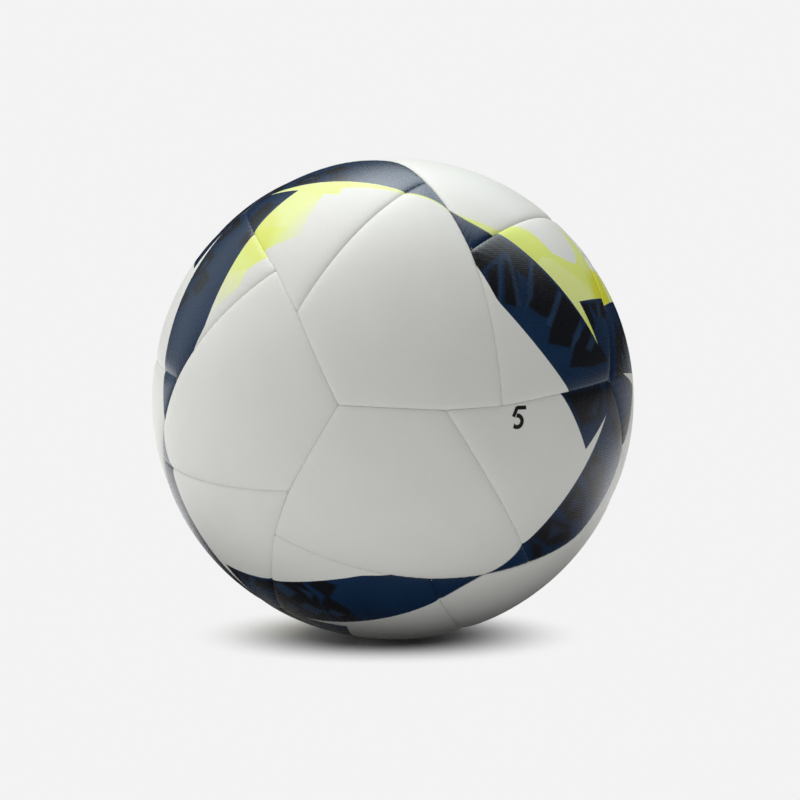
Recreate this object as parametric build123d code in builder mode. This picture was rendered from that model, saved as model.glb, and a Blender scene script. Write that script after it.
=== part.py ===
"""A size 5 soccer ball, taken apart into its layers.

The cover is 24 panels on a tetrahedral plan: twelve plain panels with six corners and twelve band
panels with five. Each is backed with its own foam. The seams are stitched and taped from behind,
and a textile lining and a butyl bladder with its valve fill the inside. Lengths are millimetres
and angles degrees. The origin is the ball's centre, +Z is up, and -Y is the side it is shown from.
"""

from build123d import *
import os
from math import degrees, pi

# Size and layers, from the outside in
circumference = 690.0
skin_thickness = 1.0
foam_thickness = 3.2
tape_thickness = 0.4
lining_thickness = 1.0
bladder_thickness = 0.8
glue_line = 0.15

# Seams
skin_gap = 0.24
skin_rounding = 0.8
corner_rounding = 1.2
foam_gap = 1.0
tape_width = 9.0
thread_diameter = 0.7
thread_depth = 2.6
thread_setback = 1.0

# Corners of the seam plan. The near and far corners of an arm lie at these angles from a three-fold
# point, turned this far from the way to the two-fold point. A bridge seam is centred on each
# two-fold point, runs this far to each side of it, and is turned this far from square.
near_corner_angle, near_corner_turn = 22.81, -68.18
far_corner_angle, far_corner_turn = 35.56, -65.81
bridge_angle, bridge_turn = 12.41, 2.6

# How the seam plan is turned on the ball as it stands, about X, Y and Z
ball_turn = (36.38, 12.61, -159.24)

# Valve, in the middle of one plain panel at the back
valve_panel = 5
hole_clearance = 0.15
hole_rounding = 0.4
stem_radius = 4.0
stem_recess = 0.35
stem_bore_radius = 2.3
flange_radius = 16.0
flange_thickness = 1.4
sack_radius = 4.6
sack_length = 9.0
sack_floor = 1.2
core_clearance = 0.1
core_head_radius = 3.1
core_head_thickness = 1.2
needle_bore_radius = 1.0
needle_bore_depth = 9.0
needle_mouth_chamfer = 0.3
slit_width = 0.3
slit_length = 2.4
patch_radius = 13.0
patch_thickness = 0.5

ball_radius = circumference / (2 * pi)
skin_inner = ball_radius - skin_thickness
foam_outer = skin_inner - glue_line
foam_inner = foam_outer - foam_thickness
tape_outer = foam_inner + tape_thickness
rim_inner = tape_outer + glue_line
lining_outer = foam_inner - glue_line
lining_inner = lining_outer - lining_thickness
bladder_outer = lining_inner - glue_line
bladder_inner = bladder_outer - bladder_thickness
stem_top = ball_radius - stem_recess
sack_bottom = bladder_inner - sack_length
stem_hole_radius = stem_radius + hole_clearance

centre = Vector(0, 0, 0)
ball_frame = Plane(Location(centre, ball_turn))
os.makedirs("parts", exist_ok=True)


def polar(pole, start, angle, turn):
    """The direction at an angle from pole, turned about it from the way to start."""
    square = pole.cross(start).normalized()
    tipped = pole.rotate(Axis(centre, square), angle)
    return tipped.rotate(Axis(centre, pole), turn)


def third_turn(direction, pole, count):
    """A direction turned by count thirds of a turn about a three-fold point."""
    return direction.rotate(Axis(centre, pole), 120 * count)


# The seam plan, with a two-fold point on +Z: corner directions, then panels and seams between them
two_fold = Vector(0, 0, 1)
arm_pole = Vector(1, 1, 1).normalized()
far_pole = Vector(-1, 1, 1).normalized()
near_corner = polar(arm_pole, two_fold, near_corner_angle, near_corner_turn)
far_corner = polar(arm_pole, two_fold, far_corner_angle, far_corner_turn)
bridge_start = polar(two_fold, Vector(0, -1, 0), bridge_angle, bridge_turn)
bridge_end = bridge_start.rotate(Axis.Z, 180)
next_near_corner = third_turn(near_corner, arm_pole, 1)
next_far_corner = third_turn(far_corner, far_pole, 1)
last_bridge_start = third_turn(bridge_start, arm_pole, -1)

plain_corners = [arm_pole, near_corner, far_corner, bridge_end, bridge_start, next_near_corner]
band_corners = [near_corner, far_corner, far_pole, next_far_corner, last_bridge_start]
arm_seams = [
    (arm_pole, near_corner),
    (near_corner, far_corner),
    (far_corner, far_pole),
    (far_corner, bridge_end),
    (near_corner, last_bridge_start),
]
bridge_seam = (bridge_start, bridge_end)

# The twelve turns that carry a tetrahedron onto itself, each a sign per axis and a roll of the axes
sign_sets = ((1, 1, 1), (1, -1, -1), (-1, 1, -1), (-1, -1, 1))
turns = [(signs, roll) for signs in sign_sets for roll in range(3)]


def placed(directions, turn):
    """Directions of the seam plan after one of the twelve turns, on the ball as it stands."""
    signs, roll = turn
    found = []
    for direction in directions:
        parts = list(direction)
        rolled = parts[roll:] + parts[:roll]
        turned = Vector(*[sign * part for sign, part in zip(signs, rolled)])
        found.append(ball_frame.from_local_coords(turned))
    return found


def middle(corners):
    """The direction of a panel's middle."""
    return sum(corners, Vector(0, 0, 0)).normalized()


def outline(corners, inset, height):
    """The panel's outline, inset from its seams, in the plane that faces it at this height."""
    out = middle(corners)
    sides = []
    for start, end in zip(corners, corners[1:] + corners[:1]):
        side = start.cross(end).normalized()
        sides.append(side if side.dot(out) > 0 else side * -1)
    points = []
    for last, side in zip(sides[-1:] + sides[:-1], sides):
        meeting = (side.cross(out) + out.cross(last)) * inset + last.cross(side) * height
        points.append(meeting * (1 / last.dot(side.cross(out))))
    return points


def sections(corners, inset):
    """The panel's outline on two planes, one under the whole shell and one over it."""
    out = Plane(centre, z_dir=middle(corners))
    found = []
    for height in (0.6 * ball_radius, 1.1 * ball_radius):
        points = [tuple(out.to_local_coords(p))[:2] for p in outline(corners, inset, height)]
        with BuildSketch(out.offset(height)) as section:
            with BuildLine():
                Polyline(points, close=True)
            make_face()
        found.append(section.sketch)
    return found


def behind(corners):
    """A plane through the centre whose X axis points away from the panel, as its spheres' seams do."""
    out = Plane(centre, z_dir=middle(corners))
    return Plane(centre, x_dir=out.z_dir * -1, z_dir=out.x_dir)


def keep(piece, name):
    """Labels a finished piece and writes it out."""
    piece.part.label = name
    export_step(piece.part, f"parts/{name}.step")


# The valve's axis, and the half plane through it that its round pieces are drawn in: X is the
# distance from the axis and Y the height over the ball's centre.
valve_axis = middle(placed(plain_corners, turns[valve_panel - 1]))
valve_line = Axis(centre, valve_axis)
valve_out = Plane(centre, z_dir=valve_axis)
valve_half = Plane(centre, x_dir=valve_out.x_dir, z_dir=valve_out.x_dir.cross(valve_axis))
hole_start = valve_out.offset(sack_bottom)


def cap_profile(hole_radius, edge_radius, inner, outer):
    """Half the section of a domed washer about the valve's axis, between two radii of the ball."""
    low_hole, high_hole = [(hole_radius, (r**2 - hole_radius**2) ** 0.5) for r in (inner, outer)]
    low_edge, high_edge = [(edge_radius, (r**2 - edge_radius**2) ** 0.5) for r in (inner, outer)]
    with BuildSketch(valve_half) as profile:
        with BuildLine():
            RadiusArc(low_hole, low_edge, inner)
            Line(low_edge, high_edge)
            RadiusArc(high_edge, high_hole, -outer)
            Line(high_hole, low_hole)
        make_face()
    return profile.sketch


def make_cover(corners, name, has_valve):
    """One outer panel: the printed skin, with its edges rounded down into the seams."""
    with BuildPart(behind(corners)) as cover:
        loft(sections(corners, skin_gap / 2), ruled=True)
        Sphere(ball_radius, mode=Mode.INTERSECT)
        Sphere(skin_inner, mode=Mode.SUBTRACT)
        fillet(cover.edges().filter_by(lambda e: e.length < 2 * skin_thickness), corner_rounding)
        rim = cover.edges().filter_by(lambda e: abs((e @ 0.5).length - ball_radius) < 0.01)
        fillet(rim, skin_rounding)
        if has_valve:
            with BuildSketch(hole_start):
                Circle(stem_hole_radius)
            extrude(amount=ball_radius, mode=Mode.SUBTRACT)
            mouth = cover.edges().sort_by(lambda e: (e @ 0.5).cross(valve_axis).length)[0:3]
            fillet(mouth.sort_by(valve_line)[-1], hole_rounding)
    keep(cover, name)


def make_foam(corners, name, has_valve):
    """The foam behind one panel, stepped back around its rim to let the seam tape in."""
    with BuildPart(behind(corners)) as foam:
        loft(sections(corners, foam_gap / 2), ruled=True)
        Sphere(foam_outer, mode=Mode.INTERSECT)
        Sphere(rim_inner, mode=Mode.SUBTRACT)
        loft(sections(corners, tape_width / 2 + glue_line), ruled=True)
        Sphere(foam_outer, mode=Mode.INTERSECT)
        Sphere(foam_inner, mode=Mode.SUBTRACT)
        if has_valve:
            with BuildSketch(hole_start):
                Circle(stem_hole_radius)
            extrude(amount=ball_radius, mode=Mode.SUBTRACT)
            revolve(
                cap_profile(
                    stem_hole_radius / 2,
                    patch_radius + hole_clearance,
                    lining_outer - glue_line,
                    foam_inner + patch_thickness + glue_line,
                ),
                axis=valve_line,
                mode=Mode.SUBTRACT,
            )
    keep(foam, name)


for number, turn in enumerate(turns, start=1):
    has_valve = number == valve_panel
    make_cover(placed(plain_corners, turn), f"plain_panel_{number:02d}", has_valve)
    make_foam(placed(plain_corners, turn), f"plain_foam_{number:02d}", has_valve)
    make_cover(placed(band_corners, turn), f"band_panel_{number:02d}", False)
    make_foam(placed(band_corners, turn), f"band_foam_{number:02d}", False)


# Seam thread: one run along each seam, in the gap between the foam edges of the two panels.
thread_radius = ball_radius - thread_depth
setback_angle = degrees(thread_setback / thread_radius)
seams = [placed(seam, turn) for turn in turns for seam in arm_seams]
# Half of the turns carry each bridge seam onto itself end for end, so only six differ.
bridges = []
for turn in turns:
    start, end = placed(bridge_seam, turn)
    if not any((start - other).length < 0.01 for _, other in bridges):
        bridges.append((start, end))
with BuildPart() as seam_thread:
    for start, end in seams + bridges:
        along = Axis(centre, start.cross(end))
        first = start.rotate(along, setback_angle)
        with BuildSketch(Plane(first * thread_radius, x_dir=first, z_dir=along.direction.cross(first))):
            Circle(thread_diameter / 2)
        revolve(axis=along, revolution_arc=start.get_angle(end) - 2 * setback_angle)
keep(seam_thread, "seam_thread")


# Seam tape: a web behind all the seams, open behind the middle of each panel.
with BuildPart() as seam_tape:
    Sphere(tape_outer)
    Sphere(foam_inner, mode=Mode.SUBTRACT)
    for turn in turns:
        loft(sections(placed(plain_corners, turn), tape_width / 2), ruled=True, mode=Mode.SUBTRACT)
        loft(sections(placed(band_corners, turn), tape_width / 2), ruled=True, mode=Mode.SUBTRACT)
keep(seam_tape, "seam_tape")


# Lining and bladder: closed spheres but for the hole that the valve's stem passes through.
with BuildPart(behind([valve_axis])) as lining:
    Sphere(lining_outer)
    Sphere(lining_inner, mode=Mode.SUBTRACT)
    with BuildSketch(hole_start):
        Circle(stem_hole_radius)
    extrude(amount=ball_radius, mode=Mode.SUBTRACT)
keep(lining, "lining")

with BuildPart(behind([valve_axis])) as bladder:
    Sphere(bladder_outer)
    Sphere(bladder_inner, mode=Mode.SUBTRACT)
    with BuildSketch(hole_start):
        Circle(stem_hole_radius)
    extrude(amount=ball_radius, mode=Mode.SUBTRACT)
keep(bladder, "bladder")


# Valve patch: a domed textile washer that reinforces the lining around the stem.
with BuildPart() as valve_patch:
    revolve(
        cap_profile(stem_hole_radius, patch_radius, foam_inner, foam_inner + patch_thickness),
        axis=valve_line,
    )
keep(valve_patch, "valve_patch")


# Valve boot: a flange under the bladder, a stem out to the cover, and a sack inwards with a slit
# through its floor. Its bore holds the core, whose head sits in a counterbore.
flange_outer = bladder_inner - glue_line
with BuildPart() as valve_boot:
    revolve(
        cap_profile(stem_bore_radius, flange_radius, flange_outer - flange_thickness, flange_outer),
        axis=valve_line,
    )
    with BuildSketch(hole_start):
        Circle(sack_radius)
    extrude(amount=sack_length - flange_thickness / 2)
    with BuildSketch(hole_start):
        Circle(stem_radius)
    extrude(amount=stem_top - sack_bottom)
    with BuildSketch(valve_out.offset(sack_bottom + sack_floor)):
        Circle(stem_bore_radius)
    extrude(amount=stem_top - sack_bottom, mode=Mode.SUBTRACT)
    with BuildSketch(valve_out.offset(stem_top - core_head_thickness - core_clearance)):
        Circle(core_head_radius + core_clearance)
    extrude(amount=2 * core_head_thickness, mode=Mode.SUBTRACT)
    with BuildSketch(hole_start):
        Rectangle(slit_length, slit_width)
    extrude(amount=2 * sack_floor, mode=Mode.SUBTRACT)
keep(valve_boot, "valve_boot")


# Valve core: a headed plug pressed into the boot, with a bore that guides the needle to a slit.
core_bottom = sack_bottom + sack_floor + core_clearance
with BuildPart() as valve_core:
    with BuildSketch(valve_out.offset(core_bottom)):
        Circle(stem_bore_radius - core_clearance)
    extrude(amount=stem_top - core_bottom)
    with BuildSketch(valve_out.offset(stem_top - core_head_thickness)):
        Circle(core_head_radius)
    extrude(amount=core_head_thickness)
    with BuildSketch(valve_out.offset(stem_top - needle_bore_depth)):
        Circle(needle_bore_radius)
    extrude(amount=needle_bore_depth, mode=Mode.SUBTRACT)
    mouth = valve_core.edges().filter_by(GeomType.CIRCLE).group_by(valve_line)[-1].sort_by(SortBy.RADIUS)[0]
    chamfer(mouth, needle_mouth_chamfer)
    with BuildSketch(valve_out.offset(core_bottom)):
        Rectangle(slit_length, slit_width)
    extrude(amount=stem_top - needle_bore_depth - core_bottom, mode=Mode.SUBTRACT)
keep(valve_core, "valve_core")
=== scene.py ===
"""Looks of the soccer ball: its 24 printed cover panels, its inner layers' materials, and the studio."""

import math

import bpy
from mathutils import Matrix, Vector, noise


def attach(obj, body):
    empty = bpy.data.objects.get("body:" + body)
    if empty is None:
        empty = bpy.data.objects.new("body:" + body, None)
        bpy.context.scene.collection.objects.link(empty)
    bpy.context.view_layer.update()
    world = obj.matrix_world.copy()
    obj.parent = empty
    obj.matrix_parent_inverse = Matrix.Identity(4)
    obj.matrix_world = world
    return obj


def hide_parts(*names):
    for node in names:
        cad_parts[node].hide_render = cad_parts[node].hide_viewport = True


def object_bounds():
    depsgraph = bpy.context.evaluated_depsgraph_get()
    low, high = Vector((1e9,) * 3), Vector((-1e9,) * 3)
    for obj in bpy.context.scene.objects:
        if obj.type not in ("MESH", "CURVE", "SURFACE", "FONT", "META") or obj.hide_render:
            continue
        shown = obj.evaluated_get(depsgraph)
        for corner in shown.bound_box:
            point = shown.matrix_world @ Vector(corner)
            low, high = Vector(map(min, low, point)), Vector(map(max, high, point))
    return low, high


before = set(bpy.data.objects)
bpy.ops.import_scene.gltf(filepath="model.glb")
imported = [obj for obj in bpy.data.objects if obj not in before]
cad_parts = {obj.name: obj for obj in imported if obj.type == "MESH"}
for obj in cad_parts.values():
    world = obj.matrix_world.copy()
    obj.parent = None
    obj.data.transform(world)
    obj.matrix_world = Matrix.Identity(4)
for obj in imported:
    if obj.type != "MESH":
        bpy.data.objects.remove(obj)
cad_low, cad_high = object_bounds()

MM = 0.001
ball_radius = max(*cad_high, *(-value for value in cad_low)) / MM  # mm, like the lengths of the panels

# ---------------------------------------------------------------- seam plan, as the CAD has it
# Angles and turns in degrees
near_corner_angle, near_corner_turn = 22.81, -68.18
far_corner_angle, far_corner_turn = 35.56, -65.81
bridge_angle, bridge_turn = 12.41, 2.6
ball_turn = (36.38, 12.61, -159.24)
valve_panel = 5


def turned(direction, pole, angle):
    """A direction turned by an angle in degrees about a pole."""
    return Matrix.Rotation(math.radians(angle), 3, pole) @ direction


def polar(pole, start, angle, turn):
    """The direction at an angle from pole, turned about it from the way to start."""
    return turned(turned(pole, pole.cross(start).normalized(), angle), pole, turn)


two_fold = Vector((0, 0, 1))
arm_pole = Vector((1, 1, 1)).normalized()
far_pole = Vector((-1, 1, 1)).normalized()
near_corner = polar(arm_pole, two_fold, near_corner_angle, near_corner_turn)
far_corner = polar(arm_pole, two_fold, far_corner_angle, far_corner_turn)
bridge_start = polar(two_fold, Vector((0, -1, 0)), bridge_angle, bridge_turn)
bridge_end = turned(bridge_start, two_fold, 180)
plain_corners = [
    arm_pole, near_corner, far_corner, bridge_end, bridge_start, turned(near_corner, arm_pole, 120),
]
band_corners = [
    near_corner, far_corner, far_pole, turned(far_corner, far_pole, 120),
    turned(bridge_start, arm_pole, -120),
]

sign_sets = ((1, 1, 1), (1, -1, -1), (-1, 1, -1), (-1, -1, 1))
ball_frame = Matrix.Identity(3)
for angle, axis in zip(ball_turn, "XYZ"):
    ball_frame = ball_frame @ Matrix.Rotation(math.radians(angle), 3, axis)


def roll_matrix(number):
    """The seam plan's turn that makes copy number 1 to 12 of a panel."""
    signs, roll = sign_sets[(number - 1) // 3], (number - 1) % 3
    rows = [[0.0] * 3 for _ in range(3)]
    for row, sign in enumerate(signs):
        rows[row][(row + roll) % 3] = sign
    return Matrix(rows)


class Plan:
    """A panel's flat plan: a sheet that touches the ball at the panel's middle, in ball radii."""

    def __init__(self, corners, up):
        self.corners = corners
        self.out = sum(corners, Vector()).normalized()
        self.up = (up - self.out * up.dot(self.out)).normalized()
        self.right = self.up.cross(self.out)
        self.sides = []
        for start, end in zip(corners, corners[1:] + corners[:1]):
            side = start.cross(end).normalized()
            self.sides.append(side if side.dot(self.out) > 0 else -side)
        facing = [
            last.cross(side).dot(corner)
            for last, side, corner in zip(self.sides[-1:] + self.sides[:-1], self.sides, corners)
        ]
        usual = sum(math.copysign(1, value) for value in facing)
        self.reflex = [index for index, value in enumerate(facing) if value * usual < 0]

    def distances(self, point):
        """How far in from each seam a point is. The two seams of a corner that points inwards are one."""
        found = [side.dot(point) for side in self.sides]
        for index in self.reflex:
            found[index] = max(found[index - 1], found[index])
        return [
            value for index, value in enumerate(found) if (index + 1) % len(found) not in self.reflex
        ]

    def direction(self, point):
        return (self.out + self.right * point[0] + self.up * point[1]).normalized()

    def flat(self, direction):
        depth = direction.dot(self.out)
        return direction.dot(self.right) / depth, direction.dot(self.up) / depth


plain_plan = Plan(plain_corners, bridge_start)
band_plan = Plan(band_corners, far_pole)

# ---------------------------------------------------------------- panel shape, in mm
groove_depth = 0.62      # how far each edge turns down into its seam
groove_reach = 1.25      # over about this distance
pillow_depth = 0.55      # how far a panel sinks towards its seams
pillow_reach = 5.5       # over about this distance
edge_depth = 2.1         # how far in the turned-down edge reaches
edge_thickness = 0.3     # of the turned-down edge
skin_back = 1.1          # the back of the skin under the ball's surface
hole_radius = 4.15       # the valve's hole
hole_lip = 0.5           # the radius of its rounded edge
lip_steps = 6
stitch_pitch = 4.4
stitch_pull = 0.07       # how much more a stitch pulls the cover down, as a share
ripple_height = 0.07     # the cover's slow rise and fall over its foam
ripple_length = 22
rim_spacing = 1.2        # between points along a seam
# Distances from the seams of the rings of points along the rim
rim_rings = (0.03, 0.12, 0.24, 0.38, 0.56, 0.78, 1.05, 1.4, 1.9, 2.6, 3.5, 4.6, 6.0, 7.8)
middle_rings = 9
back_rings = 3
sharpness = 3.0          # how tightly the dips of two seams meet in a corner


def inset_corner(last, side, inset):
    """Where the planes that run beside two seams meet on the ball."""
    foot = (last + side) * (inset / (1 + last.dot(side)))
    along = last.cross(side).normalized()
    rise = math.sqrt(ball_radius**2 - foot.length_squared)
    return foot + along * rise


def inset_ring(plan, counts, inset):
    """Points on the ball along the panel's outline, inset from its seams."""
    corners = []
    sides = plan.sides
    for last, side in zip(sides[-1:] + sides[:-1], sides):
        corner = inset_corner(last, side, inset)
        corners.append(corner if corner.dot(plan.out) > 0 else inset_corner(side, last, inset))
    ring = []
    for index, side in enumerate(sides):
        start, end = corners[index], corners[(index + 1) % len(corners)]
        for step in range(counts[index]):
            point = start.lerp(end, step / counts[index])
            level = point - side * point.dot(side)
            ring.append(side * inset + level.normalized() * math.sqrt(ball_radius**2 - inset**2))
    return ring


def dip(distances, along):
    """How far the cover sinks under the ball's surface, from the distances to the panel's seams."""
    total = 0.0
    for distance in distances:
        groove = groove_depth * math.exp(-distance / groove_reach)
        pull = 1 + stitch_pull * math.cos(2 * math.pi * along / stitch_pitch)
        total += (groove + pillow_depth * pull * math.exp(-distance / pillow_reach)) ** sharpness
    return total ** (1 / sharpness)


def panel_shape(plan, has_hole):
    """One closed panel before it is turned: its points, each with its depth in the ball, and its faces."""
    counts = [
        max(4, round(ball_radius * start.angle(end) / rim_spacing))
        for start, end in zip(plan.corners, plan.corners[1:] + plan.corners[:1])
    ]
    around = sum(counts)
    outer = [inset_ring(plan, counts, inset) for inset in rim_rings]
    last = [direction.normalized() for direction in outer[-1]]
    reach = [plan.out.angle(direction) for direction in last]
    spin = [(direction - plan.out * direction.dot(plan.out)).normalized() for direction in last]

    def towards_middle(share, hub):
        """The ring that lies this share of the way from the hub's radius to the last inset ring."""
        ring = []
        for angle, way in zip(reach, spin):
            lean = hub / ball_radius + (angle - hub / ball_radius) * share
            ring.append((plan.out * math.cos(lean) + way * math.sin(lean)) * ball_radius)
        return ring

    hub = hole_radius + hole_lip if has_hole else 0.0
    outer += [towards_middle(1 - step / middle_rings, hub) for step in range(1, middle_rings)]
    rings = []
    for ring in outer:
        rings.append([
            (point, dip(plan.distances(point), index * rim_spacing))
            for index, point in enumerate(ring)
        ])
    if has_hole:
        for step in range(lip_steps + 1):
            turn = math.pi / 2 * step / lip_steps
            ring = towards_middle(0, hole_radius + hole_lip * (1 - math.sin(turn)))
            rings.append([(point, hole_lip * (1 - math.cos(turn))) for point in ring])
    back = [(inset_ring(plan, counts, rim_rings[0]), edge_depth)]
    inner = inset_ring(plan, counts, rim_rings[0] + edge_thickness)
    back += [(inner, edge_depth), (inner, skin_back), (outer[len(rim_rings) - 1], skin_back)]
    hub = hole_radius if has_hole else 0.0
    back += [(towards_middle(1 - step / back_rings, hub), skin_back) for step in range(1, back_rings)]
    if has_hole:
        back.append((towards_middle(0, hub), skin_back))
    back_points = [[(point, depth) for point in ring] for ring, depth in back]

    points, faces = [], []
    order = list(reversed(back_points)) + rings
    for ring in order:
        points += ring
    for level in range(len(order) - 1):
        for step in range(around):
            a, b = level * around + step, level * around + (step + 1) % around
            faces.append((a, a + around, b + around, b))
    top = (len(order) - 1) * around
    if has_hole:
        for step in range(around):
            a, b = top + step, top + (step + 1) % around
            faces.append((a, step, (step + 1) % around, b))
    else:
        points += [(plan.out * ball_radius, skin_back), (plan.out * ball_radius, 0.0)]
        bottom, peak = len(points) - 2, len(points) - 1
        for step in range(around):
            faces.append((step, (step + 1) % around, bottom))
            faces.append((top + (step + 1) % around, top + step, peak))
    return points, faces


def make_panel(name, plan, number, shape, material, shift=(0, 0)):
    """One cover panel in its place. shift is how far its print sits off to the right and up, in radians."""
    points, faces = shape
    turn = ball_frame @ roll_matrix(number)
    # Each panel has its own stretch of the noise
    seed = Vector((number * 7.3, number * -3.1, 11.0 if plan is plain_plan else 47.0))
    places, prints, sheets = [], [], []
    slide = Matrix.Rotation(-shift[0], 3, plan.up) @ Matrix.Rotation(shift[1], 3, plan.right)
    for point, depth in points:
        wave = 0.0 if depth > skin_back else ripple_height * noise.noise(point / ripple_length + seed)
        places.append(turn @ point * ((ball_radius - depth + wave - ripple_height) / ball_radius * MM))
        prints.extend(slide @ point)
        lean = plan.out.angle(point)
        way = point - plan.out * point.dot(plan.out)
        stretch = ball_radius * lean / max(way.length, 1e-6)
        sheets += (way.dot(plan.right) * stretch, way.dot(plan.up) * stretch, seed.x * 40)
    mesh = bpy.data.meshes.new(name)
    mesh.from_pydata(places, [], faces)
    for label, values in (("print", prints), ("sheet", sheets)):
        mesh.attributes.new(label, "FLOAT_VECTOR", "POINT").data.foreach_set("vector", values)
    mesh.polygons.foreach_set("use_smooth", [True] * len(mesh.polygons))
    mesh.materials.append(material)
    piece = bpy.data.objects.new(name, mesh)
    bpy.context.collection.objects.link(piece)
    return piece


# ---------------------------------------------------------------- node helpers
def new_material(name):
    material = bpy.data.materials.new(name)
    material.use_nodes = True
    return material, material.node_tree, material.node_tree.nodes["Principled BSDF"]


def node(tree, kind, inputs=(), **settings):
    """A node with its settings made and its inputs filled, by number or name, with sockets or values."""
    made = tree.nodes.new("ShaderNode" + kind)
    for key, value in settings.items():
        setattr(made, key, value)
    for key, value in dict(inputs).items():
        if isinstance(value, bpy.types.NodeSocket):
            tree.links.new(value, made.inputs[key])
        else:
            made.inputs[key].default_value = value
    return made


def maths(tree, operation, *values, clamp=False):
    return node(tree, "Math", dict(enumerate(values)), operation=operation, use_clamp=clamp).outputs[0]


def mixed(tree, factor, under, over):
    """Colour over laid on colour under by factor."""
    made = node(tree, "Mix", {0: factor, 6: under, 7: over}, data_type="RGBA")
    return made.outputs[2]


def colour(text):
    """An sRGB hex colour as the linear RGBA that a socket holds."""
    parts = [int(text[i:i + 2], 16) / 255 for i in (0, 2, 4)]
    return tuple(v / 12.92 if v <= 0.04045 else ((v + 0.055) / 1.055) ** 2.4 for v in parts) + (1,)


class Print:
    """Draws on a panel's plan. A mask is the distance in mm into a shape, and less than 0 outside it."""

    def __init__(self, tree, plan):
        self.tree = tree
        self.plan = plan
        self.place = node(tree, "Attribute", attribute_name="print").outputs["Vector"]

    def direction(self, point):
        return self.plan.direction(point) * ball_radius

    def left(self, *curve):
        """What lies left of the line through two points, or of the arc through three."""
        a, b, c = (self.direction(p) for p in (curve[0], curve[-1], curve[len(curve) // 2]))
        normal = a.cross(b).normalized()
        offset = 0.0
        if len(curve) == 3:
            bent = (c - a).cross(b - a).normalized()
            normal = bent if bent.dot(normal) > 0 else -bent
            offset = normal.dot(a)
        dot = node(self.tree, "VectorMath", {0: self.place, 1: normal}, operation="DOT_PRODUCT")
        if abs(offset) < 1e-6:
            return dot.outputs["Value"]
        return maths(self.tree, "SUBTRACT", dot.outputs["Value"], offset)

    def right(self, *curve):
        return self.left(*reversed(curve))

    def both(self, *masks):
        found = masks[0]
        for mask in masks[1:]:
            found = maths(self.tree, "MINIMUM", found, mask)
        return found

    def either(self, *masks):
        found = masks[0]
        for mask in masks[1:]:
            found = maths(self.tree, "MAXIMUM", found, mask)
        return found

    def polygon(self, *points):
        """A convex shape whose points run anticlockwise."""
        return self.both(*(self.left(a, b) for a, b in zip(points, points[1:] + points[:1])))

    def crisp(self, mask, blur=0.25):
        """The mask as a factor, with an edge blurred over this many mm."""
        return maths(self.tree, "MULTIPLY_ADD", mask, 1 / blur, 0.5, clamp=True)


# ---------------------------------------------------------------- cover print
WHITE = colour("DCDDD8")
NAVY = colour("14304F")
DEEP_NAVY = colour("0E2440")
STEEL = colour("2F4D70")
BLACK = colour("141315")
LIME = colour("D8E566")
SOFT_LIME = colour("DCE87E")
PALE_LIME = colour("E3EBA6")
GOLD_LIME = colour("D6D91E")

SKIN_ROUGHNESS = 0.36
PRINT_GLOSS = 0.17       # how much less rough the printed film is
EMBOSS_PITCH = 1.15      # mm
EMBOSS_HEIGHT = 0.018 * MM
LIME_BLUR = 0.6          # of the lime's edges, mm
CORNER_BLUR = 1.5        # where the band's outer edge meets its heel, mm

# Curves of the print on the band panel's plan. The inner edge of the band runs from the spike's tip
# down to the seam, and on over the plain panel beside it as the sliver's edge.
inner_edge = ((0.055, 0.285), (0.112, 0.0), (0.18, -0.345))
sliver_edge = ((0.18, -0.345), (0.219, -0.46), (0.222, -0.602))
outer_edge = ((0.355, 0.38), (0.415, 0.16), (0.455, -0.07))
outer_heel = ((0.462, -0.08), (0.42, -0.24))
notch_line = ((0.045, 0.095), (-0.22, 0.15), (-0.50, 0.195))
spike_side = ((0.045, 0.095), (0.055, 0.285))

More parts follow.
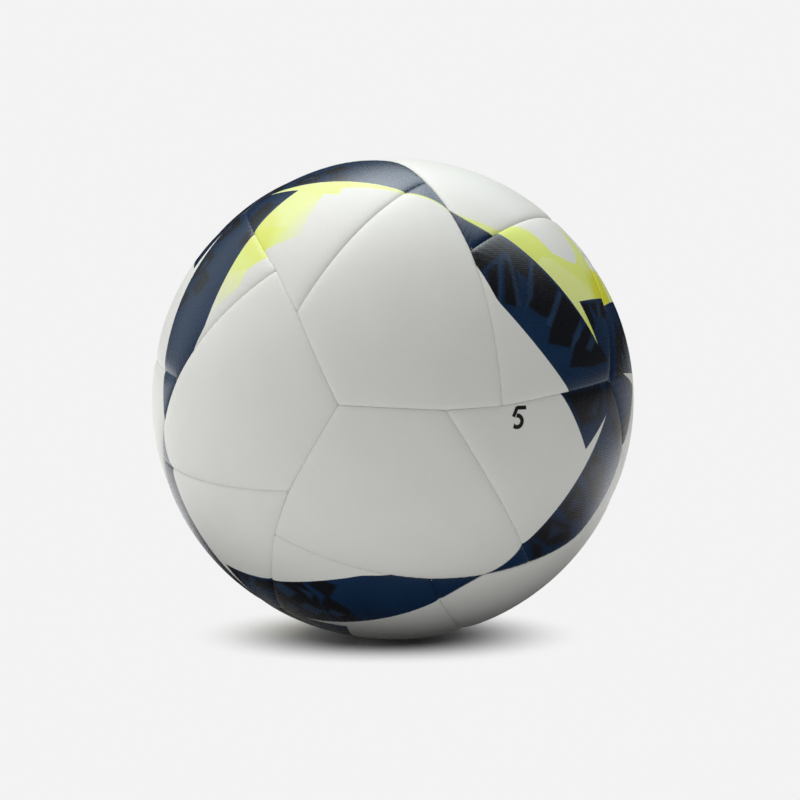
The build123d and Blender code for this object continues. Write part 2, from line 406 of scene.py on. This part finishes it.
# Each drawing is dark shards over the navy ground, lighter streaks that cut across them, the streaks'
# strength, and the blur of the edges in mm. All are convex shapes with their points anticlockwise.
drawings = {
    "blades": (
        [
            ((0.012, 0.375), (0.043, 0.28), (0.078, 0.185), (0.21, 0.225), (0.30, 0.30), (0.16, 0.352)),
            ((0.085, 0.16), (0.123, 0.03), (0.26, 0.088), (0.353, 0.165), (0.25, 0.23)),
            ((0.128, 0.01), (0.153, -0.13), (0.368, 0.0), (0.313, 0.05), (0.298, 0.083), (0.208, 0.07)),
            ((0.158, -0.14), (0.18, -0.25), (0.228, -0.24), (0.27, -0.16), (0.25, -0.09)),
            ((0.245, -0.165), (0.275, -0.215), (0.435, -0.07), (0.385, -0.015)),
            ((0.30, -0.225), (0.40, -0.215), (0.47, -0.12), (0.46, -0.08)),
            ((0.185, -0.32), (0.36, -0.36), (0.43, -0.25), (0.40, -0.235), (0.20, -0.24)),
            ((-0.22, 0.17), (-0.02, 0.125), (-0.03, 0.19), (-0.17, 0.235)),
            ((-0.01, 0.12), (0.052, 0.10), (0.055, 0.25), (0.01, 0.20)),
        ],
        [
            ((0.085, 0.15), (0.20, 0.195), (0.24, 0.235), (0.16, 0.215)),
            ((0.125, 0.035), (0.135, 0.01), (0.31, 0.095), (0.29, 0.115)),
            ((0.15, -0.135), (0.17, -0.145), (0.36, 0.0), (0.29, -0.02)),
            ((0.225, -0.225), (0.245, -0.22), (0.40, -0.02), (0.37, -0.02)),
            ((0.285, -0.225), (0.31, -0.225), (0.46, -0.09), (0.445, -0.085)),
            ((0.055, 0.265), (0.07, 0.23), (0.155, 0.27), (0.125, 0.29)),
            ((-0.12, 0.15), (-0.09, 0.14), (-0.035, 0.195), (-0.07, 0.20)),
        ],
        0.36, 1.2,
    ),
    "drifts": (
        [
            ((-0.03, 0.42), (0.0, 0.33), (0.13, 0.285), (0.30, 0.27), (0.40, 0.34), (0.36, 0.39)),
            ((-0.21, 0.165), (-0.05, 0.13), (0.025, 0.24), (-0.02, 0.345), (-0.06, 0.35)),
            ((0.10, 0.14), (0.118, 0.03), (0.30, 0.02), (0.38, 0.10), (0.24, 0.16)),
            ((0.125, -0.01), (0.148, -0.13), (0.27, -0.12), (0.36, -0.05), (0.24, 0.01)),
            ((0.155, -0.18), (0.175, -0.29), (0.31, -0.25), (0.42, -0.14), (0.30, -0.11)),
            ((0.18, -0.31), (0.33, -0.345), (0.37, -0.29), (0.26, -0.27)),
        ],
        [
            ((0.05, 0.345), (0.09, 0.30), (0.16, 0.34), (0.11, 0.365)),
            ((0.22, 0.31), (0.27, 0.28), (0.30, 0.33)),
            ((-0.05, 0.20), (0.0, 0.23), (-0.04, 0.29)),
            ((0.13, 0.08), (0.18, 0.045), (0.23, 0.11), (0.20, 0.14)),
            ((0.17, -0.04), (0.21, -0.10), (0.25, -0.03)),
            ((0.20, -0.19), (0.26, -0.235), (0.30, -0.15)),
        ],
        0.26, 3.0,
    ),
    "wisps": (
        [
            ((0.0, 0.40), (0.05, 0.24), (0.13, 0.25), (0.17, 0.37)),
            ((0.095, 0.19), (0.115, 0.05), (0.19, 0.09), (0.21, 0.19)),
            ((0.128, 0.0), (0.145, -0.10), (0.20, -0.01)),
            ((-0.20, 0.17), (-0.06, 0.14), (-0.02, 0.22), (-0.12, 0.26)),
            ((0.28, 0.40), (0.33, 0.27), (0.40, 0.33)),
            ((0.20, 0.12), (0.19, 0.02), (0.27, 0.0), (0.31, 0.09)),
        ],
        [
            ((0.04, 0.35), (0.07, 0.27), (0.10, 0.33)),
            ((0.13, 0.16), (0.15, 0.09), (0.18, 0.14)),
        ],
        0.40, 2.0,
    ),
    "facets": (
        [
            ((0.05, 0.16), (0.30, 0.14), (0.46, 0.22), (0.48, 0.42), (-0.03, 0.44)),
            ((0.09, 0.13), (0.12, 0.02), (0.22, 0.03), (0.33, 0.10), (0.25, 0.145)),
            ((0.30, 0.09), (0.40, 0.03), (0.44, 0.10), (0.40, 0.17)),
            ((-0.21, 0.17), (-0.07, 0.145), (-0.04, 0.23), (-0.10, 0.27)),
        ],
        [
            ((0.13, 0.20), (0.18, 0.15), (0.24, 0.22), (0.19, 0.26)),
            ((0.25, 0.30), (0.31, 0.24), (0.37, 0.31), (0.33, 0.36)),
            ((0.10, 0.33), (0.16, 0.27), (0.20, 0.33)),
            ((0.28, 0.18), (0.33, 0.16), (0.36, 0.22)),
            ((0.14, 0.11), (0.17, 0.06), (0.21, 0.11), (0.18, 0.13)),
        ],
        0.40, 1.5,
    ),
}


def add_surface(tree, shader, coloured, printed):
    """The satin skin: a fine embossed grain all over, and a slightly glossier film where it is printed."""
    sheet = node(tree, "Attribute", attribute_name="sheet").outputs["Vector"]
    waves = []
    for angle in (0, 60, 120):
        way = (math.cos(math.radians(angle)), math.sin(math.radians(angle)), 0)
        dot = node(tree, "VectorMath", {0: sheet, 1: way}, operation="DOT_PRODUCT").outputs["Value"]
        waves.append(maths(tree, "COSINE", maths(tree, "MULTIPLY", dot, 2 * math.pi / EMBOSS_PITCH)))
    cells = maths(tree, "ADD", maths(tree, "ADD", waves[0], waves[1]), waves[2])
    pebble = node(tree, "TexNoise", {"Vector": sheet, "Scale": 0.9, "Detail": 3.0, "Roughness": 0.6})
    height = maths(tree, "MULTIPLY_ADD", pebble.outputs["Fac"], 2.2, cells)
    bump = node(tree, "Bump", {"Height": height, "Strength": 0.5, "Distance": EMBOSS_HEIGHT})
    tree.links.new(bump.outputs["Normal"], shader.inputs["Normal"])
    mottle = node(tree, "TexNoise", {"Vector": sheet, "Scale": 0.035, "Detail": 4.0, "Roughness": 0.55})
    shade = maths(tree, "MULTIPLY_ADD", mottle.outputs["Fac"], 0.09, 0.955)
    tinted = node(tree, "VectorMath", {0: coloured, 3: shade}, operation="SCALE").outputs["Vector"]
    tree.links.new(tinted, shader.inputs["Base Color"])
    rough = maths(tree, "MULTIPLY_ADD", pebble.outputs["Fac"], 0.16, SKIN_ROUGHNESS)
    rough = maths(tree, "MULTIPLY_ADD", printed, -PRINT_GLOSS, rough)
    tree.links.new(rough, shader.inputs["Roughness"])
    shader.inputs["Specular IOR Level"].default_value = 0.42


def lime_tints(drawn, base):
    """Lime broken into flat facets of slightly different tints."""
    tree = drawn.tree
    sheet = node(tree, "Attribute", attribute_name="sheet").outputs["Vector"]
    cells = node(tree, "TexVoronoi", {"Vector": sheet, "Scale": 0.05, "Randomness": 1.0})
    pick = node(tree, "SeparateColor", {0: cells.outputs["Color"]}).outputs[0]
    return mixed(tree, maths(tree, "MULTIPLY", pick, 0.75), base, PALE_LIME)


def navy_tints(drawn):
    """The navy ground, drifting between two depths."""
    tree = drawn.tree
    sheet = node(tree, "Attribute", attribute_name="sheet").outputs["Vector"]
    drift = node(tree, "TexNoise", {"Vector": sheet, "Scale": 0.03, "Detail": 2.0}).outputs["Fac"]
    depth = maths(tree, "MULTIPLY_ADD", drift, 2.4, -0.7, clamp=True)
    return mixed(tree, depth, DEEP_NAVY, NAVY)


def size_mark(drawn):
    """A plain numeral 5, the ball's size, set along the seam beside it."""
    tree = drawn.tree
    middle, height, slant = Vector((-0.32, -0.062)), 0.080, 0.28
    half_stroke = 1.75 / 2
    bowl_radius = 0.27 * height * ball_radius
    across = Vector((0.72, 0.694))
    upright = Vector((-0.694, 0.72))

    def at(x, y):
        return middle + (across * (x + slant * y) + upright * y) * height

    def bar(start, end):
        along = end - start
        side = Vector((-along.y, along.x)).normalized() * half_stroke / ball_radius
        return drawn.polygon(start - side, end - side, end + side, start + side)

    hub = drawn.direction(at(0.0, -0.20))
    gap = node(tree, "VectorMath", {0: drawn.place, 1: hub}, operation="DISTANCE").outputs["Value"]
    ring = maths(tree, "ABSOLUTE", maths(tree, "SUBTRACT", gap, bowl_radius))
    ring = maths(tree, "SUBTRACT", half_stroke, ring)
    bowl = drawn.both(ring, drawn.right(at(-0.13, -0.6), at(-0.13, 0.6)))
    return drawn.either(bowl, bar(at(-0.22, 0.47), at(0.34, 0.47)), bar(at(-0.29, 0.02), at(-0.20, 0.50)))


def band_material(name, lime, drawing, marked):
    """lime is None, "field" with its facets under the notch, "peak" for its partner, "tail" beyond the
    outer edge, "deep_tail" where that turns golden, or "streak" beside the heel. drawing names what the
    band is filled with, and a marked panel carries the size mark."""
    material, tree, shader = new_material(name)
    drawn = Print(tree, band_plan)
    inside = drawn.left(*inner_edge)
    outside = drawn.right(*inner_edge)
    outer = maths(tree, "SMOOTH_MIN", drawn.right(*outer_edge), drawn.right(*outer_heel), CORNER_BLUR)
    band = drawn.both(inside, outer)
    notch = drawn.both(drawn.right(*notch_line), drawn.left(*spike_side))
    printed = drawn.crisp(drawn.either(band, notch))
    surface = WHITE
    if lime in ("field", "peak"):
        below = drawn.left(*notch_line)
        if lime == "field":
            shapes = drawn.either(
                drawn.both(
                    drawn.left((-0.205, -0.11), (0.02, -0.06)),
                    drawn.left((-0.33, 0.03), (-0.215, -0.145)),
                ),
                drawn.polygon((-0.27, -0.06), (-0.215, -0.145), (-0.19, -0.09)),
                drawn.both(
                    drawn.left((0.02, -0.04), (0.028, -0.13)),
                    drawn.left((0.028, -0.13), (0.085, -0.107)),
                ),
                drawn.both(
                    drawn.left((0.07, -0.09), (0.16, -0.345)), drawn.right((0.0, -0.08), (0.2, -0.08))
                ),
            )
        else:
            bare = drawn.either(
                drawn.polygon(
                    (-0.30, -0.40), (0.0, -0.40), (0.0, -0.12), (-0.08, -0.05), (-0.13, -0.03),
                    (-0.21, -0.08), (-0.28, -0.17),
                ),
                drawn.both(
                    drawn.right((-0.01, -0.19), (0.03, -0.28), (0.11, -0.345)),
                    drawn.right((-0.1, -0.2), (0.1, -0.2)),
                ),
            )
            shapes = drawn.both(
                maths(tree, "MULTIPLY", bare, -1), drawn.left((-0.36, 0.10), (-0.30, -0.22))
            )
        field = drawn.both(outside, below, shapes)
        spike = drawn.both(outside, drawn.right(*spike_side), drawn.left((0, 0.09), (0.1, 0.09)))
        lit = drawn.crisp(drawn.either(field, spike), LIME_BLUR)
        if lime == "field":
            # The field washes out downwards, west of the spike
            firm = drawn.either(
                drawn.left((-0.40, -0.02), (0.10, -0.06)), drawn.left((-0.02, 0.30), (-0.02, -0.40))
            )
            lit = maths(tree, "MULTIPLY", lit, maths(tree, "MULTIPLY_ADD", firm, 1 / 15, 0.8, clamp=True))
        base, gilt = (LIME, 0.95) if lime == "peak" else (SOFT_LIME, 0.4)
        surface = mixed(tree, lit, surface, lime_tints(drawn, base))
        gold = drawn.polygon((-0.40, 0.24), (-0.33, 0.0), (-0.16, 0.04), (-0.06, 0.16))
        gold = maths(tree, "MULTIPLY", drawn.crisp(gold, 5.0), lit)
        surface = mixed(tree, maths(tree, "MULTIPLY", gold, gilt), surface, GOLD_LIME)
    if lime in ("tail", "deep_tail"):
        beyond = drawn.left(*outer_edge)
        taper = drawn.both(
            beyond, drawn.right((0.50, 0.36), (0.545, 0.16)), drawn.left((0.44, -0.07), (0.60, 0.20))
        )
        wide = drawn.both(
            beyond, drawn.right((0.62, 0.36), (0.50, 0.15)), drawn.left((0.45, 0.08), (0.6, 0.3))
        )
        # The tail washes out downwards, and turns golden at its top
        firm = drawn.left((0.30, 0.20), (0.60, 0.20))
        firm = maths(tree, "MULTIPLY_ADD", firm, 1 / 24, 1.0, clamp=True)
        lit = maths(tree, "MULTIPLY", drawn.crisp(drawn.either(taper, wide), LIME_BLUR), firm)
        gold = drawn.crisp(drawn.left((0.30, 0.27), (0.60, 0.25)), 4.0)
        gold = maths(tree, "MULTIPLY", gold, 1.0 if lime == "deep_tail" else 0.25)
        tail = mixed(tree, gold, lime_tints(drawn, SOFT_LIME), GOLD_LIME)
        surface = mixed(tree, lit, surface, tail)
    if lime == "streak":
        streak = drawn.polygon((0.22, -0.30), (0.34, -0.37), (0.47, -0.17), (0.42, -0.12))
        surface = mixed(tree, drawn.crisp(streak, LIME_BLUR), surface, lime_tints(drawn, LIME))
    ground = navy_tints(drawn)
    shards, streaks, strength, blur = drawings[drawing]
    for shapes, part, ink in ((shards, 0.95, BLACK), (streaks, strength, STEEL)):
        inked = drawn.crisp(drawn.either(*(drawn.polygon(*shape) for shape in shapes)), blur)
        ground = mixed(tree, maths(tree, "MULTIPLY", inked, part), ground, ink)
    if marked:
        surface = mixed(tree, drawn.crisp(size_mark(drawn)), surface, BLACK)
    surface = mixed(tree, printed, surface, ground)
    add_surface(tree, shader, surface, printed)
    return material


def plain_material(name, strip):
    """The plain panel: white, but for the sliver of the band that ends at its two-fold point. strip is the
    outer edge of the lime beside it, or None."""
    material, tree, shader = new_material(name)
    drawn = Print(tree, plain_plan)
    to_neighbour = roll_matrix(2).inverted() @ roll_matrix(1)

    def beyond(curve):
        """What lies in the panel's tip past a curve that is given on the band panel's plan."""
        here = [plain_plan.flat(to_neighbour @ band_plan.direction(point)) for point in curve]
        return drawn.both(drawn.left(*here), drawn.left((-0.3, 0.55), (0.3, 0.55)))

    surface = WHITE
    if strip:
        surface = mixed(tree, drawn.crisp(beyond(strip), LIME_BLUR), surface, lime_tints(drawn, LIME))
    printed = drawn.crisp(beyond(sliver_edge))
    surface = mixed(tree, printed, surface, navy_tints(drawn))
    add_surface(tree, shader, surface, printed)
    return material


# ---------------------------------------------------------------- cover panels
# Each band panel's lime, its drawing, and whether it carries the size mark
band_kinds = {
    1: (None, "drifts", True), 2: ("streak", "blades", False), 3: ("field", "wisps", False),
    4: (None, "blades", False), 5: ("tail", "wisps", False), 6: ("peak", "facets", False),
    7: (None, "facets", False), 8: ("deep_tail", "blades", False), 9: ("field", "blades", False),
    10: (None, "drifts", False), 11: ("tail", "facets", False), 12: ("peak", "blades", False),
}
long_strip = ((0.17, -0.345), (0.209, -0.46), (0.220, -0.602))
short_strip = ((0.125, -0.345), (0.18, -0.43), (0.225, -0.54))
plain_strips = {1: long_strip, 7: long_strip, 4: short_strip, 10: short_strip}
plain_looks = {
    None: plain_material("plain_cover_white", None),
    long_strip: plain_material("plain_cover_long", long_strip),
    short_strip: plain_material("plain_cover_short", short_strip),
}
band_shifts = {12: (-0.028, -0.02), 3: (0.008, 0.015)}
plain_shape = panel_shape(plain_plan, False)
valve_shape = panel_shape(plain_plan, True)
band_shape = panel_shape(band_plan, False)
band_looks = {}
for number in range(1, 13):
    plain = make_panel(
        f"plain_cover_{number:02d}", plain_plan, number,
        valve_shape if number == valve_panel else plain_shape, plain_looks[plain_strips.get(number)],
    )
    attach(plain, "root")
    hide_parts(f"plain_panel_{number:02d}")
    kind = lime, drawing, marked = band_kinds[number]
    if kind not in band_looks:
        band_looks[kind] = band_material(f"band_{lime or 'white'}_{drawing}", lime, drawing, marked)
    band = make_panel(
        f"band_cover_{number:02d}", band_plan, number, band_shape, band_looks[kind],
        band_shifts.get(number, (0, 0)),
    )
    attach(band, "root")
    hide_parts(f"band_panel_{number:02d}")


# ---------------------------------------------------------------- inner layers: the CAD's own pieces
def inner_material(name, low, high, scale, roughness, bump, kind="TexNoise"):
    """A layer's material: two tones that a texture drifts between, with its grain as bump and the darker
    tone where the bump is low.
    The texture's scale is per metre, and the bump is in mm."""
    material, tree, shader = new_material(name)
    place = node(tree, "TexCoord").outputs["Object"]
    grain = node(tree, kind, {"Vector": place, "Scale": scale})
    fine = grain.outputs["Fac" if kind == "TexNoise" else "Distance"]
    # The darker tone sits where the bump is low: painted shade in the pits of the foam's cells; on the
    # rubbers it is a broad drift of tone
    tree.links.new(mixed(tree, fine, colour(low), colour(high)), shader.inputs["Base Color"])
    rough = maths(tree, "MULTIPLY_ADD", fine, 0.15, roughness - 0.07)
    tree.links.new(rough, shader.inputs["Roughness"])
    tilt = node(tree, "Bump", {"Height": fine, "Strength": 0.6, "Distance": bump * MM})
    tree.links.new(tilt.outputs["Normal"], shader.inputs["Normal"])
    return material


def woven_material(name, low, high, pitch, roughness):
    """A plain weave: two crossed sets of yarns, a pitch in mm apart, that pass over and under each other."""
    material, tree, shader = new_material(name)
    place = node(tree, "TexCoord").outputs["Object"]
    yarns = []
    for way in ((1, 0.31, 0.17), (-0.25, 1, 0.43)):
        along = node(tree, "VectorMath", {0: place, 1: way}, operation="DOT_PRODUCT").outputs["Value"]
        yarns.append(maths(tree, "SINE", maths(tree, "MULTIPLY", along, 2 * math.pi / (pitch * MM))))
    weave = maths(tree, "MULTIPLY_ADD", maths(tree, "MULTIPLY", *yarns), 0.5, 0.5)
    fuzz = node(tree, "TexNoise", {"Vector": place, "Scale": 900.0, "Detail": 3.0}).outputs["Fac"]
    height = maths(tree, "MULTIPLY_ADD", fuzz, 0.4, weave)
    # Painted shade: the weave's dips, where a yarn passes under, take the darker tone and its crowns the
    # lighter one
    tree.links.new(mixed(tree, weave, colour(low), colour(high)), shader.inputs["Base Color"])
    tree.links.new(maths(tree, "MULTIPLY_ADD", fuzz, 0.2, roughness - 0.1), shader.inputs["Roughness"])
    tilt = node(tree, "Bump", {"Height": height, "Strength": 0.7, "Distance": 0.15 * MM})
    tree.links.new(tilt.outputs["Normal"], shader.inputs["Normal"])
    shader.inputs["Sheen Weight"].default_value = 0.2
    return material


looks = {
    # Painted shade: the foam's cell pits and the weaves' dips take the darker of their two tones
    "foam": inner_material("foam_cells", "CFCBBE", "EFECE2", 900.0, 0.9, 0.2, "TexVoronoi"),
    "thread": woven_material("thread_twist", "C9C7BF", "F0EEE6", 0.45, 0.65),
    "tape": woven_material("tape_weave", "BDBBB2", "E2E0D8", 0.8, 0.8),
    "lining": woven_material("lining_weave", "B8B6A8", "DEDCCF", 1.1, 0.85),
    "patch": woven_material("patch_weave", "A6A698", "CFCFC2", 0.9, 0.85),
    "bladder": inner_material("bladder_butyl", "0D0D0E", "1C1C1E", 120.0, 0.5, 0.05),
    "boot": inner_material("valve_boot_rubber", "111112", "1F1F21", 300.0, 0.55, 0.03),
    "core": inner_material("valve_core_rubber", "232325", "36363A", 500.0, 0.6, 0.03),
}
for name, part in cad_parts.items():
    family = {
        "seam_thread": "thread", "seam_tape": "tape", "lining": "lining", "valve_patch": "patch",
        "bladder": "bladder", "valve_boot": "boot", "valve_core": "core",
    }.get(name, "foam")
    if not part.hide_render:
        for slot in part.material_slots:
            slot.material = looks[family]


# ---------------------------------------------------------------- studio
floor_level = cad_low.z
paper = 0.896            # the bare floor's and backdrop's brightness, linear
window_strength = 2.4
floor_half = 6.0         # metres
shadow_squash = 1.55     # how many times wider than deep the contact shadow is
shadow_middle = -0.004   # its x, metres
# The floor's brightness rises from the first to the second of these distances from the contact, in
# metres: where the matte floor gives way to the glow, the light it throws, and its mirror image.
fade_reach = (0.032, 0.094)
bounce_reach = (0.075, 0.24)
mirror_reach = (0.12, 0.30)


def gradient(tree, way, base, x, y, z):
    """A level that changes evenly with direction, and never drops under a little."""
    level = maths(tree, "MULTIPLY_ADD", way["Z"], z, base)
    level = maths(tree, "MULTIPLY_ADD", way["Y"], y, level)
    level = maths(tree, "MULTIPLY_ADD", way["X"], x, level)
    return maths(tree, "MAXIMUM", level, 0.02)


def eased(tree, value, low, high, start=0.0, end=1.0):
    """Eases from start to end as the value goes from low to high."""
    steps = {"Value": value, "From Min": low, "From Max": high, "To Min": start, "To Max": end}
    return node(tree, "MapRange", steps, interpolation_type="SMOOTHSTEP").outputs["Result"]


# The sky is plain for the camera, a soft tent for the light on matte surfaces, and for reflections a
# gradient that goes dark behind the ball, with one bright window high on the right.
world = bpy.data.worlds.new("studio")
bpy.context.scene.world = world
world.use_nodes = True
sky = world.node_tree
sky.nodes.clear()
outwards = node(sky, "TexCoord").outputs["Generated"]
way = node(sky, "SeparateXYZ", {0: outwards}).outputs
rays = node(sky, "LightPath").outputs
bare = node(sky, "Background", {"Color": (paper, paper, paper, 1), "Strength": 1.0})
tent_level = gradient(sky, way, 0.44, -0.36, 0.50, 0.58)
tent = node(sky, "Background", {"Color": (1, 1, 0.985, 1), "Strength": tent_level})
to_window = Vector((0.25, 0.50, 0.83)).normalized()
facing = node(sky, "VectorMath", {0: outwards, 1: to_window}, operation="DOT_PRODUCT").outputs["Value"]
gloss_level = gradient(sky, way, 0.0, -0.40, 0.42, 0.28)
not_behind = eased(sky, way["Y"], 0.62, 0.88, 1.0, 0.0)
window_level = eased(sky, facing, 0.83, 0.95, 0.0, window_strength)
gloss_level = maths(sky, "MULTIPLY_ADD", gloss_level, not_behind, window_level)
gloss = node(sky, "Background", {"Color": (0.86, 0.96, 1.0, 1), "Strength": gloss_level})
lit = node(sky, "MixShader", {0: rays["Is Glossy Ray"], 1: tent.outputs[0], 2: gloss.outputs[0]})
both = node(sky, "MixShader", {0: rays["Is Camera Ray"], 1: lit.outputs[0], 2: bare.outputs[0]})
node(sky, "OutputWorld", {"Surface": both.outputs[0]})

floor_mesh = bpy.data.meshes.new("floor")
floor_corners = [
    (x * floor_half, y * floor_half, floor_level) for x, y in ((-1, -1), (1, -1), (1, 1), (-1, 1))
]
floor_mesh.from_pydata(floor_corners, [], [(0, 1, 2, 3)])
floor = bpy.data.objects.new("floor", floor_mesh)
bpy.context.collection.objects.link(floor)

# The floor is matte where the ball's shadow falls, and fades outwards into a glow that the camera sees
# as bare paper. y is stretched, which makes the shadow an ellipse.
floor_look, tree, shader = new_material("floor_paper")
tree.nodes.remove(shader)
place = node(tree, "NewGeometry").outputs["Position"]
stretch, middle = (1, shadow_squash, 0), (shadow_middle, 0, 0)
place = node(tree, "VectorMath", {0: place, 1: stretch}, operation="MULTIPLY").outputs["Vector"]
place = node(tree, "VectorMath", {0: place, 1: middle}, operation="SUBTRACT").outputs["Vector"]
away = node(tree, "VectorMath", {0: place}, operation="LENGTH").outputs["Value"]
spot = node(tree, "SeparateXYZ", {0: place}).outputs
way = node(tree, "VectorMath", {0: place}, operation="NORMALIZE").outputs["Vector"]
way = node(tree, "SeparateXYZ", {0: way}).outputs
rays = node(tree, "LightPath").outputs
lean = maths(tree, "MULTIPLY_ADD", way["Y"], 0.05, maths(tree, "MULTIPLY_ADD", way["X"], -0.16, 0.98))
bounced = maths(tree, "MULTIPLY", eased(tree, away, *bounce_reach, 0.0, 1.04), lean)
side = eased(tree, spot["X"], 0.20, 0.55, 1.0, 0.3)
behind = maths(tree, "MULTIPLY_ADD", way["Y"], 0.6, 0.9)
mirrored = eased(tree, away, *mirror_reach, 0.03, 1.0)
mirrored = maths(tree, "MULTIPLY", mirrored, maths(tree, "MULTIPLY", side, behind))
unseen = node(tree, "Mix", {0: rays["Is Glossy Ray"], 2: bounced, 3: mirrored}).outputs[0]
level = node(tree, "Mix", {0: rays["Is Camera Ray"], 2: unseen, 3: paper}).outputs[0]
glow = node(tree, "Emission", {"Color": (1, 1, 1, 1), "Strength": level})
matte = node(tree, "BsdfDiffuse", {"Color": (0.72, 0.70, 0.72, 1)})
fade = eased(tree, away, *fade_reach)
blend = node(tree, "MixShader", {0: fade, 1: matte.outputs[0], 2: glow.outputs[0]})
tree.links.new(blend.outputs[0], tree.nodes["Material Output"].inputs["Surface"])
floor_mesh.materials.append(floor_look)


def area_light(name, place, aim, size, power):
    lamp = bpy.data.lights.new(name, "AREA")
    lamp.shape = "DISK"
    lamp.size = size
    lamp.energy = power
    holder = bpy.data.objects.new(name, lamp)
    holder.location = place
    holder.rotation_euler = (Vector(aim) - Vector(place)).to_track_quat("-Z", "Y").to_euler()
    bpy.context.collection.objects.link(holder)


softbox_place, softbox_size, softbox_power = (-0.25, 0.25, 1.3), 1.2, 11.0  # metres, metres, watts
area_light("overhead_softbox", softbox_place, (0, 0, 0), softbox_size, softbox_power)

# ---------------------------------------------------------------- camera
camera_elevation = math.radians(5.5)
camera_distance = 7.4626 * ball_radius * MM  # in balls' radii, for the photograph's perspective
sensor_width = 36.0
lens_ratio = 1783 / 800  # focal length over sensor width
camera_data = bpy.data.cameras.new("camera")
camera_data.sensor_width = sensor_width
camera_data.lens = sensor_width * lens_ratio
camera_data.shift_x = 0.009
camera_data.shift_y = -0.0015
camera = bpy.data.objects.new("camera", camera_data)
camera.location = Vector((0, -math.cos(camera_elevation), math.sin(camera_elevation))) * camera_distance
camera.rotation_euler = (math.pi / 2 - camera_elevation, 0, 0)
bpy.context.collection.objects.link(camera)
bpy.context.scene.camera = camera
bpy.context.scene.view_settings.view_transform = "Standard"
